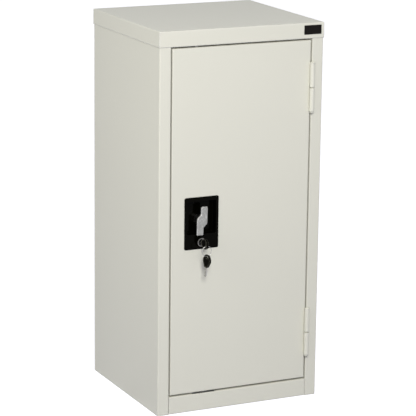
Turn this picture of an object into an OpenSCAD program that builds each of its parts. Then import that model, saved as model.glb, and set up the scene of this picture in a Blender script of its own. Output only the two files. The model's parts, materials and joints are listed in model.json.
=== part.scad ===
// Wall-mounted steel storage cabinet with one door, a turn handle, two locking rods and a key lock.
// The origin is the centre of the wall bolt holes on the back face. The front faces -Y and up is +Z.
// The door is shown shut with its rods drawn in, and turning the handle throws the rods.

/* [Case] */
// Width over the top cap
body_w = 352; // [320:1:420]
// Depth from the wall to the front of the top cap
body_d = 326; // [280:1:400]
// Height from the base to the top
body_h = 762; // [700:1:860]
// Thickness of the sheet steel
sheet = 1; // [0.8:0.1:1.2]
// Outside radius of the folded edges
fold_r = 2; // [1.6:0.1:2.6]
// Height of the top cap's flanges
cap_flange = 31; // [28:0.5:40]
// Width of each front stile
stile_w = 24; // [20:0.5:30]
// Height of the bottom rail
rail_h = 35.5; // [30:0.5:44]
// Depth of the door frame behind its face
frame_depth = 22; // [21:0.5:24]
// Height of the stop lips behind the door
stop_lip = 8; // [6:0.5:12]
// Width of the hem behind each jamb
jamb_hem = 8; // [5:0.5:12]
// Width of the flanges folded in at the back
back_flange = 15; // [10:0.5:20]
// Height of the flanges round the base
base_flange = 20; // [12:0.5:26]
// Sideways spacing of the wall bolt holes
wall_hole_w = 250; // [180:1:270]
// Upright spacing of the wall bolt holes
wall_hole_h = 600; // [500:1:620]
// Diameter of the wall bolt holes
wall_hole_d = 9; // [6:0.5:12]

/* [Shelves] */
// Width of a slotted shelf standard
standard_w = 18; // [16:0.5:24]
// Depth of a slotted shelf standard
standard_depth = 8; // [6:0.5:10]
// Distance from the inside faces to the standards
standard_inset = 30; // [24:1:50]
// Spacing of the slots
slot_pitch = 25.4; // [22:0.1:30]
// Height of a slot
slot_h = 9; // [8:0.5:12]
// Width of a slot
slot_w = 3.2; // [3:0.1:4]
// Slot that carries the lower shelf's clips, counted from the bottom
lower_slot = 9; // [4:1:11]
// Slot that carries the upper shelf's clips
upper_slot = 18; // [15:1:21]
// Height of a shelf's folded edge
shelf_flange = 18; // [14:0.5:26]
// Width of the lip under a shelf's folded edge
shelf_lip = 9; // [6:0.5:14]
// Reach of a shelf clip's ledge
clip_reach = 15; // [12:0.5:20]
// Width of a shelf clip
clip_w = 12; // [9:0.5:14]
// Thickness of a shelf clip
clip_t = 1.6; // [1.2:0.1:2]

/* [Door] */
// Gap at each side of the door
door_gap = 2.5; // [2.2:0.1:3]
// Gap above and below the door
end_gap = 3.4; // [2.6:0.1:4]
// Thickness of the door
door_t = 18; // [17:0.5:18.5]
// Width of the lips behind the door's edges
door_lip = 12; // [8:0.5:16]
// Width of the stiffener's crown
stiffener_w = 46; // [30:1:60]
// Depth of the stiffener
stiffener_depth = 12; // [8:0.5:15]
// Sideways place of the stiffener
stiffener_x = 50; // [30:1:70]
// Diameter of a door bumper
bumper_d = 6; // [5:0.5:6]
// Sideways distance from the middle to a door bumper
bumper_x = 110; // [60:1:120]

/* [Hinges] */
// Distance from the door's top to the middle of the upper hinge
hinge_top_inset = 93; // [80:0.5:140]
// Distance from the door's lower edge to the middle of the lower hinge
hinge_base_inset = 97; // [80:0.5:140]
// Length of one knuckle
knuckle_l = 46; // [30:0.5:60]
// Outside diameter of a knuckle
knuckle_d = 10; // [9:0.2:10.4]
// Diameter of a hinge pin
hinge_pin_d = 5; // [4:0.1:6]
// Distance of the hinge axis in front of the door's face
hinge_stand = 5.5; // [5.2:0.1:7]
// Play between the two knuckles
hinge_play = 2; // [0.6:0.1:3]
// Height of a hinge pin's domed head
pin_head_h = 4; // [2.5:0.1:5]
// Thickness of a hinge leaf
leaf_t = 1.5; // [1.2:0.1:1.8]

/* [Handle] */
// Distance from the door's left edge to the handle
handle_inset = 64; // [58:0.5:80]
// Width of the handle pan
pan_w = 73; // [70:0.5:90]
// Height of the handle pan
pan_h = 104; // [102:0.5:120]
// Corner radius of the handle pan
pan_r = 4; // [2:0.5:6]
// Thickness of the handle pan's wall
pan_t = 1.5; // [1:0.1:2]
// Bevel round the handle pan's front
pan_bevel = 0.7; // [0.3:0.1:0.9]
// Width of the recess for the fingers
recess_w = 62; // [58:0.5:64]
// Height of the recess
recess_h = 66; // [62:0.5:68]
// Depth of the recess behind the door's face
recess_depth = 14.5; // [12:0.5:15]
// Height of the recess's middle above the pan's middle
recess_up = 11; // [10:0.5:13]
// Height of the handle's axis above the pan's middle
handle_up = 4.25; // [2:0.25:6]
// Length of the handle
lever_l = 57.5; // [50:0.5:62]
// Width of each of the handle's two blades
lever_w = 14.5; // [12:0.5:17]
// Sideways overlap of the handle's two blades
lever_overlap = 6.8; // [4:0.2:10]
// Thickness of the handle
lever_t = 3.6; // [3:0.1:6]
// Bevel round the handle's front
lever_bevel = 1.2; // [0.6:0.1:1.6]
// Lean of the handle's top to the right
lever_lean = 1.5; // [0:0.5:4]
// Diameter of the handle's hub
hub_d = 21; // [18:0.5:22]
// Diameter of the handle's round spindle
spindle_d = 12; // [10:0.5:13]
// Width of the handle's square spindle end
spindle_sq = 8; // [7:0.1:8.4]

/* [Latch] */
// Angle that the handle turns through
handle_turn = 60; // [50:1:65]
// Distance from the handle's axis to a rod pin
pin_circle_r = 12; // [11.6:0.1:13]
// Diameter of a rod pin
rod_pin_d = 5; // [4:0.1:5.4]
// Thickness of the latch plate
latch_t = 2; // [1.6:0.1:2.2]
// Length of the side latch arm from the handle's axis
arm_l = 73; // [70:0.5:76]
// Width of the side latch arm
arm_w = 11; // [9:0.5:11.5]
// Width of a flat locking rod
rod_w = 6.5; // [6:0.5:8]
// Width of a locking rod's slotted end
rod_end_w = 10; // [9.6:0.1:10.4]
// Thickness of a locking rod
rod_t = 3; // [2:0.1:3.4]
// Depth of a locking rod's end behind the door's face
rod_edge_depth = 7; // [5.3:0.1:8]
// Height of a rod end showing in the gap
rod_show = 2.8; // [1.5:0.1:2.8]
// Distance from the door's ends to its rod guides
guide_inset = 95; // [60:1:140]
// Side clearance of a rod in its slot in a strike plate
catch_clear = 0.8; // [0.5:0.1:1]

/* [Lock] */
// Distance from the pan's middle down to the lock
lock_down = 38.5; // [38:0.25:42]
// Diameter of the lock's ring
lock_ring_d = 17; // [16:0.5:19]
// Height of the lock's ring
lock_ring_h = 2.5; // [1.5:0.1:4]
// Diameter of the lock's barrel
barrel_d = 14.5; // [13:0.5:15]
// Diameter of the lock's plug
plug_d = 10; // [9:0.1:10.6]
// Length of the lock's cam from its axis
lock_cam_l = 27.5; // [26.5:0.25:28]
// Width of the lock's cam
lock_cam_w = 6.4; // [5:0.1:7]

/* [Keys] */
// Length of a key's moulded bow
bow_l = 25; // [24:0.5:30]
// Width of a key's moulded bow
bow_w = 20; // [18:0.5:22]
// Thickness of a key's moulded bow
bow_t = 4.4; // [3:0.1:5]
// Length of a key's blade
blade_l = 20; // [16:0.5:20.5]
// Width of a key's blade
blade_w = 6; // [5:0.1:6.6]
// Thickness of a key's blade
blade_t = 1.9; // [1.5:0.1:2.2]
// Length of the oblong hole in a bow
bow_hole_l = 8.5; // [8:0.5:9]
// Outside diameter of the split ring
ring_d = 21; // [18:0.5:24]
// Thickness of the split ring's wire pair
ring_wire = 1.8; // [1.4:0.1:2]
// Lean of the spare key towards the door
spare_lean = 8; // [0:1:10]
// Turn of the spare key's near edge to the right
spare_turn = 14; // [0:1:15]

/* [Fits] */
// Radial clearance of a turning fit
fit = 0.05; // [0.03:0.01:0.1]
// Clearance between moving pieces
clear = 0.4; // [0.3:0.05:0.5]

/* [Hidden] */
$fn = 64;
eps = 0.01;

// Case planes
top_z = body_h / 2;
base_z = -body_h / 2;
front_y = -body_d + sheet;
side_x = body_w / 2 - sheet;
inner_x = side_x - sheet;
open_w = 2 * (side_x - stile_w);
open_top = top_z - cap_flange;
open_base = base_z + rail_h;
side_top = top_z - sheet - fold_r;

// Shelves and their supports
standard_x = inner_x - standard_depth;
standard_base = base_z + base_flange + 2 * sheet;
standard_top = open_top - stop_lip - sheet;
first_slot = standard_base + slot_h;
slot_count = floor((standard_top - first_slot - slot_h) / slot_pitch) + 1;
hook_play = 0.8;
hook_drop = slot_h - 1;
hook_w = slot_w - hook_play;
hook_h = 4;
hook_tail = 2.5;
shelf_back_gap = 3;
shelf_front_gap = 38;
shelf_front = front_y + shelf_front_gap;
shelf_back = -3 * sheet - shelf_back_gap;
shelf_w = 2 * (standard_x - clip_t - clear);
shelf_d = shelf_back - shelf_front;
front_standard_y = shelf_front + standard_inset;
rear_standard_y = shelf_back - standard_inset;

// Strike plates
strike_l = 60;
strike_t = 2;
strike_lap = 5;

// Door and hinges
door_w = open_w - 2 * door_gap;
door_h = open_top - open_base - 2 * end_gap;
door_z = (open_top + open_base) / 2;
hinge_x = open_w / 2 - door_gap / 2;
hinge_y = front_y - hinge_stand;
hinge_reach = hinge_stand + door_t;
upper_hinge_z = door_z + door_h / 2 - hinge_top_inset;
lower_hinge_z = door_z - door_h / 2 + hinge_base_inset;

// Handle and lock axes
handle_x = -door_w / 2 + handle_inset;
pan_z = door_z;
recess_z = pan_z + recess_up;
handle_z = pan_z + handle_up;
lock_z = pan_z - lock_down;

// Depths behind the door's face, from the front to the back
recess_back = recess_depth + pan_t;
latch_depth = 22.4;
latch_back = latch_depth + latch_t;
rod_depth = latch_back + clear + rod_t / 2;
pin_head_depth = rod_depth + rod_t / 2 + clear;
bracket_t = 1.5;
bracket_h = 12;
bracket_drop = 2;
bracket_z = recess_z + recess_h / 2 - bracket_h / 2 - bracket_drop;
stud_x = 24;
stud_d = 4;
stud_l = 6;
boss_wall = 4;
latch_screw_d = 5;
latch_screw_l = 10;
square_play = 0.1;

// Locking rods: flat bars, each on a pin that swings evenly about the level of the handle's axis
pin_angle = handle_turn / 2;
pin_high = pin_circle_r * sin(pin_angle);
pin_far = pin_circle_r;
pin_near = pin_circle_r * cos(pin_angle);
rod_x = (pin_far + pin_near) / 2;
rod_slot_h = rod_pin_d + 2 * clear;
rod_slot_l = pin_far - pin_near + rod_pin_d + 2 * clear;
upper_reach = door_z + door_h / 2 + rod_show - handle_z;
lower_reach = handle_z - (door_z - door_h / 2) + rod_show;
joggle_gap = 2;
joggle_start = pan_h / 2 + handle_up + joggle_gap;

// Lock
lock_ring_front = -pan_t - lock_ring_h;
barrel_back = latch_depth - 1;
plug_back = latch_depth - clear;
plug_sq = 6;
cam_screw_d = 3;
cam_screw_l = 4.5;
key_gap = 0.3;

// Keys: a bow's hole lies near its far end, and the ring hangs in one end of it
bow_hole_w = 4;
bow_hole_wall = 1.4;
bow_hole_y = bow_l - bow_hole_wall - bow_hole_w / 2;
bow_hole_end = (bow_hole_l - bow_hole_w) / 2;
blade_tang = 6;
ring_turn_r = 0.3 * ring_wire;
ring_r = ring_d / 2 - ring_turn_r;
ring_seat = 0.35;
key_base_y = front_y + lock_ring_front - key_gap;
ring_y = key_base_y - bow_hole_y;
ring_top_z = lock_z - bow_hole_end - ring_seat;
ring_low_z = ring_top_z - 2 * ring_r;

paint = [0.85, 0.84, 0.79];
steel = [0.7, 0.7, 0.72];
zinc = [0.76, 0.75, 0.7];
black = [0.06, 0.06, 0.06];

// Shared shapes

// Rectangle with round corners, centred
module round_rect(w, h, r) {
    square([w - 2 * r, h], center = true);
    square([w, h - 2 * r], center = true);
    for (i = [-1, 1], j = [-1, 1])
        translate([i * (w / 2 - r), j * (h / 2 - r)])
            circle(r);
}

// Rectangle below the axis with its two upper corners cut at 45 degrees
module bevelled_section(w, h, bevel) {
    polygon([
        [-w / 2, -h],
        [w / 2, -h],
        [w / 2, -bevel],
        [w / 2 - bevel, 0],
        [-w / 2 + bevel, 0],
        [-w / 2, -bevel]
    ]);
}

// Plate reaching down from z = 0 with round corners and a bevel round its upper face
module bevelled_plate(w, h, t, r, bevel) {
    intersection() {
        translate([0, 0, -t])
            linear_extrude(t)
                round_rect(w, h, r);
        rotate([90, 0, 0])
            linear_extrude(2 * h, center = true)
                bevelled_section(w, 2 * t, bevel);
        rotate([90, 0, 90])
            linear_extrude(2 * w, center = true)
                bevelled_section(h, 2 * t, bevel);
    }
}

// Rectangle below the axis with its two upper corners round
module folded_section(w, h, r) {
    translate([-w / 2, -h])
        square([w, h - r]);
    translate([-w / 2 + r, -h])
        square([w - 2 * r, h]);
    for (i = [-1, 1])
        translate([i * (w / 2 - r), -r])
            circle(r);
}

// Block reaching down from z = 0 whose four upper edges are folded round
module folded_block(x, y, z, r) {
    intersection() {
        rotate([90, 0, 0])
            linear_extrude(y, center = true)
                folded_section(x, z, r);
        rotate([90, 0, 90])
            linear_extrude(x, center = true)
                folded_section(y, z, r);
    }
}

// Folded sheet pan hanging down from z = 0, with a lip turned in along its open edge
module folded_pan(x, y, z, lip) {
    difference() {
        folded_block(x, y, z, fold_r);
        translate([0, 0, -sheet])
            folded_block(x - 2 * sheet, y - 2 * sheet, z - 2 * sheet, fold_r - sheet);
        translate([0, 0, -z])
            cube([x - 2 * lip, y - 2 * lip, 4 * sheet], center = true);
    }
}

// Quarter ring of folded sheet, its round side to the upper right
module fold() {
    intersection() {
        difference() {
            circle(fold_r);
            circle(fold_r - sheet);
        }
        square(fold_r);
    }
}

// Section of a frame rail: its face stands up, it folds back over the opening, and a stop lip
// hangs down behind the door
module rail_section(face) {
    translate([0, fold_r])
        square([sheet, face - fold_r]);
    translate([fold_r, fold_r])
        rotate(180)
            fold();
    translate([fold_r, 0])
        square([frame_depth - 2 * fold_r, sheet]);
    translate([frame_depth - fold_r, sheet - fold_r])
        fold();
    translate([frame_depth - sheet, -stop_lip])
        square([sheet, stop_lip + sheet - fold_r]);
}

// Upright plate cut from an outline, from a depth behind the door's face
module door_plate(depth, t) {
    translate([0, front_y + depth + t, 0])
        rotate([90, 0, 0])
            linear_extrude(t)
                children();
}

// Round bar along Y, from a depth behind the door's face
module door_bar(x, z, d, depth, l) {
    translate([x, front_y + depth, z])
        rotate([-90, 0, 0])
            cylinder(d = d, h = l);
}

// Case

module top_cap() {
    color(paint)
        translate([0, -body_d / 2, top_z])
            folded_pan(body_w, body_d, cap_flange, sheet);
}

// Plan section of the right side: back flange, wall, stile, jamb and hem
module side_section() {
    open_x = open_w / 2;
    translate([side_x - back_flange, -2 * sheet])
        square([back_flange - fold_r, sheet]);
    translate([side_x - fold_r, -sheet - fold_r])
        fold();
    translate([inner_x, front_y + fold_r])
        square([sheet, -front_y - 2 * fold_r - sheet]);
    translate([side_x - fold_r, front_y + fold_r])
        rotate(-90)
            fold();
    translate([open_x + fold_r, front_y])
        square([stile_w - 2 * fold_r, sheet]);
    translate([open_x + fold_r, front_y + fold_r])
        rotate(180)
            fold();
    translate([open_x, front_y + fold_r])
        square([sheet, frame_depth - 2 * fold_r]);
    translate([open_x + fold_r, front_y + frame_depth - fold_r])
        rotate(90)
            fold();
    translate([open_x + fold_r, front_y + frame_depth - sheet])
        square([jamb_hem - fold_r, sheet]);
}

// The jamb and its hem stand on the floor of the base
module side() {
    open_x = open_w / 2;
    difference() {
        translate([0, 0, base_z])
            linear_extrude(side_top - base_z)
                side_section();
        translate([open_x - sheet, front_y + fold_r, base_z - sheet])
            cube([jamb_hem + 2 * sheet, frame_depth, 2 * sheet]);
    }
}

module right_side() {
    color(paint)
        side();
}

module left_side() {
    color(paint)
        mirror([1, 0, 0])
            side();
}

// The top of the back panel steps in behind the cap's rear flange
module back_panel() {
    lap = 12;
    panel_w = 2 * (side_x - fold_r);
    step_w = 2 * (side_x - back_flange - clear);
    color(paint)
        difference() {
            union() {
                translate([-panel_w / 2, -sheet, base_z])
                    cube([panel_w, sheet, open_top - clear - base_z]);
                translate([-step_w / 2, -2 * sheet, open_top - lap])
                    cube([step_w, sheet, side_top - open_top + lap]);
            }
            for (i = [-1, 1], j = [-1, 1])
                translate([i * wall_hole_w / 2, 0, j * wall_hole_h / 2])
                    rotate([90, 0, 0])
                        cylinder(d = wall_hole_d, h = 6 * sheet, center = true);
        }
}

// Section of the bottom rail, folded under into the base
module bottom_rail_section() {
    mirror([0, 1])
        rail_section(rail_h - fold_r);
    translate([fold_r, -rail_h + fold_r])
        rotate(180)
            fold();
    translate([fold_r, -rail_h])
        square([2 * fold_r, sheet]);
}

module bottom_pan() {
    base_back = -2 * sheet;
    base_front = front_y + fold_r;
    spare = 4 * fold_r;
    relief = 2 * fold_r;
    color(paint) {
        difference() {
            translate([0, (base_back + base_front - spare) / 2, base_z])
                rotate([180, 0, 0])
                    folded_pan(2 * inner_x, base_back - base_front + spare, base_flange, sheet);
            translate([-body_w / 2, base_front - 2 * spare, base_z - sheet])
                cube([body_w, 2 * spare, 2 * base_flange]);
            for (i = [-1, 1])
                translate([i * inner_x, base_back, base_z])
                    cube([relief, relief, 3 * base_flange], center = true);
        }
        difference() {
            translate([0, front_y, open_base])
                rotate([90, 0, 90])
                    linear_extrude(open_w, center = true)
                        bottom_rail_section();
            strike_cut(rod_x + handle_x, open_base);
        }
    }
}

module header() {
    color(paint)
        difference() {
            translate([0, front_y, open_top])
                rotate([90, 0, 90])
                    linear_extrude(open_w, center = true)
                        rail_section(cap_flange - sheet - fold_r);
            strike_cut(handle_x - rod_x, open_top);
        }
}

// Strike plates close a cut in the frame's fold, and each has a slot for a rod
module strike_cut(x, z) {
    cut_l = strike_l - 2 * strike_lap;
    translate([x - cut_l / 2, front_y + fold_r, z - 2 * sheet])
        cube([cut_l, frame_depth - 2 * fold_r - sheet, 4 * sheet]);
}

// Strike plate on the far side of the fold, away from the opening
module strike(x, z) {
    plate_d = frame_depth - 2 * fold_r;
    catch_w = rod_w + 2 * catch_clear;
    catch_t = rod_t + 2 * catch_clear;
    color(zinc)
        difference() {
            translate([x - strike_l / 2, front_y + fold_r, z])
                cube([strike_l, plate_d, strike_t]);
            translate([x - catch_w / 2, front_y + rod_edge_depth - catch_t / 2, z - strike_t])
                cube([catch_w, catch_t, 3 * strike_t]);
        }
}

module top_strike() {
    strike(handle_x - rod_x, open_top + sheet);
}

module bottom_strike() {
    strike(handle_x + rod_x, open_base - sheet - strike_t);
}

module door_bumpers() {
    lip_front = frame_depth - sheet;
    squash_gap = 0.3;
    bumper_front = door_t + squash_gap;
    bumper_in = stop_lip / 2 + 0.5;
    color(black)
        for (i = [-1, 1], z = [open_top - bumper_in, open_base + bumper_in])
            door_bar(i * bumper_x, z, bumper_d, bumper_front, lip_front - bumper_front);
}

// Shelf supports

module standard(y) {
    color(zinc)
        difference() {
            translate([standard_x, y, standard_base])
                linear_extrude(standard_top - standard_base)
                    rotate(90)
                        difference() {
                            folded_section(standard_w, standard_depth, fold_r);
                            translate([0, -sheet])
                                folded_section(standard_w - 2 * sheet, standard_depth, fold_r - sheet);
                        }
            for (i = [0 : slot_count - 1])
                translate([standard_x - sheet, y - slot_w / 2, first_slot + i * slot_pitch])
                    cube([3 * sheet, slot_w, slot_h]);
        }
}

module standard_right_front() {
    standard(front_standard_y);
}

module standard_right_rear() {
    standard(rear_standard_y);
}

module standard_left_front() {
    mirror([1, 0, 0])
        standard(front_standard_y);
}

module standard_left_rear() {
    mirror([1, 0, 0])
        standard(rear_standard_y);
}

function ledge_z(slot) = first_slot + slot * slot_pitch + hook_drop;

module shelf(slot) {
    color(paint)
        translate([0, (shelf_front + shelf_back) / 2, ledge_z(slot) + shelf_flange])
            folded_pan(shelf_w, shelf_d, shelf_flange, shelf_lip);
}

module lower_shelf() {
    shelf(lower_slot);
}

module upper_shelf() {
    shelf(upper_slot);
}

// Clip with its ledge at z = 0 and its leg against a standard at x = 0, hooked into two slots
module shelf_clip() {
    leg = hook_drop + slot_pitch + hook_tail;
    translate([-clip_t, -clip_w / 2, -leg])
        cube([clip_t, clip_w, leg]);
    translate([-clip_reach, -clip_w / 2, -clip_t])
        cube([clip_reach, clip_w, clip_t]);
    for (drop = [hook_drop, hook_drop + slot_pitch]) {
        translate([-clip_t, -hook_w / 2, -drop])
            cube([2 * clip_t + sheet, hook_w, hook_h]);
        translate([sheet, -hook_w / 2, -drop - hook_tail])
            cube([clip_t, hook_w, hook_h + hook_tail]);
    }
}

module shelf_clips(slot) {
    color(zinc)
        for (side = [0, 1], y = [front_standard_y, rear_standard_y])
            mirror([side, 0, 0])
                translate([standard_x, y, ledge_z(slot)])
                    shelf_clip();
}

module lower_shelf_clips() {
    shelf_clips(lower_slot);
}

module upper_shelf_clips() {
    shelf_clips(upper_slot);
}

// Hinges

// One knuckle with its leaf, from z = 0 up; the leaf lies in the gap beside the door
module hinge_half(leaf_x) {
    bore_r = hinge_pin_d / 2 + fit;
    wall = knuckle_d / 2 - bore_r;
    difference() {
        union() {
            cylinder(d = knuckle_d, h = knuckle_l);
            translate([leaf_x, bore_r + wall / 2, 0])
                cube([leaf_t, hinge_reach - bore_r - wall / 2, knuckle_l]);
        }
        translate([0, 0, -eps])
            cylinder(r = bore_r, h = knuckle_l + 2 * eps);
    }
}

module frame_hinge(z) {
    color(paint)
        translate([hinge_x, hinge_y, z + hinge_play / 2])
            hinge_half(door_gap / 2 - leaf_t);
}

module door_hinge(z) {
    color(paint)
        translate([hinge_x, hinge_y, z - hinge_play / 2 - knuckle_l])
            hinge_half(-door_gap / 2);
}

module upper_frame_hinge() {
    frame_hinge(upper_hinge_z);
}

module lower_frame_hinge() {
    frame_hinge(lower_hinge_z);
}

module upper_door_hinge() {
    door_hinge(upper_hinge_z);
}

module lower_door_hinge() {
    door_hinge(lower_hinge_z);
}

// Domed head of a hinge pin, standing on z = 0
module pin_head() {
    rim_share = 0.4;
    rim = pin_head_h * rim_share;
    dome_h = pin_head_h - rim;
    head_r = knuckle_d / 2;
    dome_r = (head_r * head_r + dome_h * dome_h) / (2 * dome_h);
    cylinder(r = head_r, h = rim);
    intersection() {
        translate([0, 0, pin_head_h - dome_r])
            sphere(dome_r);
        translate([0, 0, rim / 2])
            cylinder(r = head_r, h = pin_head_h);
    }
}

module hinge_pin(z) {
    half = knuckle_l + hinge_play / 2;
    seat = 0.2;
    color(paint)
        translate([hinge_x, hinge_y, z]) {
            translate([0, 0, -half - seat - eps])
                cylinder(d = hinge_pin_d, h = 2 * half + seat + 2 * eps);
            translate([0, 0, half])
                pin_head();
            translate([0, 0, -half - seat])
                rotate([180, 0, 0])
                    pin_head();
        }
}

module upper_hinge_pin() {
    hinge_pin(upper_hinge_z);
}

module lower_hinge_pin() {
    hinge_pin(lower_hinge_z);
}

// Door

module door_panel() {
    cut_clear = 0.5;
    cut_w = recess_w + 2 * pan_t + 2 * cut_clear;
    cut_h = recess_h + 2 * pan_t + 2 * cut_clear;
    color(paint)
        difference() {
            translate([0, front_y, door_z])
                rotate([90, 0, 0])
                    folded_pan(door_w, door_h, door_t, door_lip);
            door_plate(-sheet, 3 * sheet) {
                translate([handle_x, recess_z])
                    round_rect(cut_w, cut_h, pan_r);
                translate([handle_x, lock_z])
                    circle(d = barrel_d + cut_clear);
            }
            for (i = [-1, 1])
                translate([handle_x + i * rod_x, front_y + rod_edge_depth, door_z - i * door_h / 2])
                    cube([rod_w + 2 * clear, rod_t + 2 * clear, 6 * sheet], center = true);
        }
}

// Hat channel spot-welded inside the door
module door_stiffener() {
    flange = 10;
    end_gap = 45;
    length = door_h - 2 * end_gap;
    color(paint)
        translate([stiffener_x, front_y + sheet, door_z - length / 2])
            linear_extrude(length) {
                difference() {
                    translate([0, stiffener_depth])
                        folded_section(stiffener_w, stiffener_depth, fold_r);
                    translate([0, stiffener_depth - sheet])
                        folded_section(stiffener_w - 2 * sheet, stiffener_depth, fold_r - sheet);
                }
                for (i = [-1, 1])
                    translate([i * (stiffener_w / 2 + flange / 2 - sheet / 2), sheet / 2])
                        square([flange + sheet, sheet], center = true);
            }
}

// Handle pan with its finger recess, spindle boss and two fixing studs
module handle_pan() {
    boss_d = spindle_d + 2 * boss_wall;
    color(black)
        difference() {
            union() {
                translate([handle_x, front_y - pan_t, pan_z])
                    rotate([90, 0, 0])
                        bevelled_plate(pan_w, pan_h, pan_t, pan_r, pan_bevel);
                door_plate(-pan_t, recess_back + pan_t)
                    translate([handle_x, recess_z])
                        round_rect(recess_w + 2 * pan_t, recess_h + 2 * pan_t, pan_r);
                door_bar(handle_x, handle_z, boss_d, recess_depth, latch_depth - clear - recess_depth);
                for (i = [-1, 1])
                    door_bar(handle_x + i * stud_x, bracket_z, stud_d, recess_depth + pan_t / 2, stud_l);
            }
            door_plate(-2 * pan_t, recess_depth + 2 * pan_t)
                translate([handle_x, recess_z])
                    round_rect(recess_w, recess_h, pan_r - pan_t / 2);
            door_bar(handle_x, handle_z, spindle_d + 4 * fit, 0, latch_depth);
            door_bar(handle_x, lock_z, barrel_d + 2 * fit, -2 * pan_t, 4 * pan_t);
        }
}

// Strap across the back of the recess, its feet on the inside of the door's face
module pan_bracket() {
    leg_gap = 4;
    half = recess_w / 2 + pan_t + leg_gap;
    foot = 12;
    color(zinc)
        difference() {
            translate([handle_x, front_y, bracket_z - bracket_h / 2])
                linear_extrude(bracket_h) {
                    translate([-half, recess_back])
                        square([2 * half, bracket_t]);
                    for (i = [0, 1])
                        mirror([i, 0]) {
                            translate([half - bracket_t, sheet])
                                square([bracket_t, recess_back - sheet + bracket_t]);
                            translate([half - bracket_t, sheet])
                                square([foot, bracket_t]);
                        }
                }
            for (i = [-1, 1])
                door_bar(handle_x + i * stud_x, bracket_z, stud_d + 2 * fit, recess_depth, recess_depth);
        }
}

// Hexagon nut over a bar, from a depth behind the door's face
module hex_nut(x, z, flats, bore, depth, h) {
    door_plate(depth, h)
        translate([x, z])
            difference() {
                circle(d = flats / cos(30), $fn = 6);
                circle(d = bore);
            }
}

module pan_nuts() {
    flats = 7;
    nut_h = 3.2;
    depth = recess_back + bracket_t;
    color(zinc)
        for (i = [-1, 1])
            hex_nut(handle_x + i * stud_x, bracket_z, flats, stud_d + 2 * fit, depth, nut_h);
}

// Angle bracket inside the door's face with a slot for a rod
module rod_guide(x, z) {
    guide_w = 26;
    guide_h = 16;
    tab = 2;
    tab_wall = 5.5;
    tab_depth = rod_edge_depth + rod_t / 2 + tab_wall;
    color(zinc)
        difference() {
            translate([x - guide_w / 2, front_y + sheet, z - tab]) {
                cube([guide_w, bracket_t, guide_h]);
                cube([guide_w, tab_depth - sheet, tab]);
            }
            translate([x, front_y + rod_edge_depth, z - tab / 2])
                cube([rod_w + 2 * clear, rod_t + 2 * clear, 2 * tab], center = true);
        }
}

module upper_rod_guide() {
    rod_guide(handle_x - rod_x, door_z + door_h / 2 - guide_inset);
}

module lower_rod_guide() {
    rod_guide(handle_x + rod_x, door_z - door_h / 2 + guide_inset);
}

// Handle and latch

// Rounded block between circles [x, y, radius], bevelled round its face at z = 0
module bevelled_block(circles) {
    hull()
        for (c = circles, level = [[-lever_bevel, 0], [0, lever_bevel]])
            translate([c[0], c[1], -lever_t])
                linear_extrude(lever_t + level[0])
                    circle(c[2] - level[1], $fn = 32);
}

// Upper half of the handle: an upright blade, and the slant from its shoulder to the lower blade
module lever_half() {
    tip_r = 3;
    shoulder_r = 5;
    shoulder_z = -3;
    slant_z = -12;
    near = -lever_overlap / 2;
    far = near + lever_w;
    tip_z = lever_l / 2 - tip_r;
    bevelled_block([
        [near + tip_r, tip_z, tip_r],
        [far - tip_r, tip_z, tip_r],
        [far - shoulder_r, shoulder_z, shoulder_r],
        [near + tip_r, shoulder_z, tip_r]
    ]);
    bevelled_block([
        [far - shoulder_r, shoulder_z, shoulder_r],
        [0, shoulder_z, -near],
        [0, slant_z, -near]
    ]);
}

// The handle is two such halves, one turned half round, on a hub and a spindle
module turn_handle() {
    lever_front = -pan_t - clear - lever_t;
    lever_back = lever_front + lever_t / 2;
    hub_back = recess_depth - clear;
    color(steel)
        difference() {
            union() {
                translate([handle_x, front_y + lever_front, handle_z])
                    rotate([90, 0, 0])
                        for (i = [0, 180])
                            rotate(i - lever_lean)
                                lever_half();
                door_bar(handle_x, handle_z, hub_d, lever_back, hub_back - lever_back);
                door_bar(handle_x, handle_z, spindle_d, 0, latch_depth - clear / 2);
                door_plate(0, latch_back - square_play)
                    translate([handle_x, handle_z])
                        square(spindle_sq, center = true);
            }
            door_bar(handle_x, handle_z, latch_screw_d + 2 * fit, latch_back - latch_screw_l - 1, latch_back);
        }
}

// Latch plate: rod pins at both sides, the side latch arm, and the lug that the lock's cam stops
module latch_outline() {
    disc_r = 13.5;
    pin_wall = 2.5;
    boss_d = rod_pin_d + 2 * pin_wall;
    lug_r = 20;
    lug_spread = 28;
    lug_far = 2 * lug_r;
    step_floor = handle_z - lock_z - lock_cam_l - clear;
    step_side = lock_cam_w / 2 + clear;
    difference() {
        union() {
            circle(disc_r);
            for (i = [0, 180])
                rotate(i + pin_angle)
                    translate([pin_circle_r, 0])
                        circle(d = boss_d);
            rotate(180 + handle_turn) {
                translate([0, -arm_w / 2])
                    square([arm_l - arm_w / 2, arm_w]);
                translate([arm_l - arm_w / 2, 0])
                    circle(d = arm_w);
            }
            rotate(270 + handle_turn)
                intersection() {
                    circle(lug_r);
                    polygon([[0, 0], [lug_far, -lug_far * tan(lug_spread)], [lug_far, 0]]);
                }
        }
        rotate(270 + handle_turn)
            translate([step_floor, -step_side])
                square([lug_r, step_side + lug_r]);
        square(spindle_sq + square_play, center = true);
        for (i = [0, 180])
            rotate(i + pin_angle)
                translate([pin_circle_r, 0])
                    circle(d = rod_pin_d + 2 * fit);
    }
}

module latch_plate() {
    color(zinc)
        door_plate(latch_depth, latch_t)
            translate([handle_x, handle_z])
                latch_outline();
}

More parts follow.
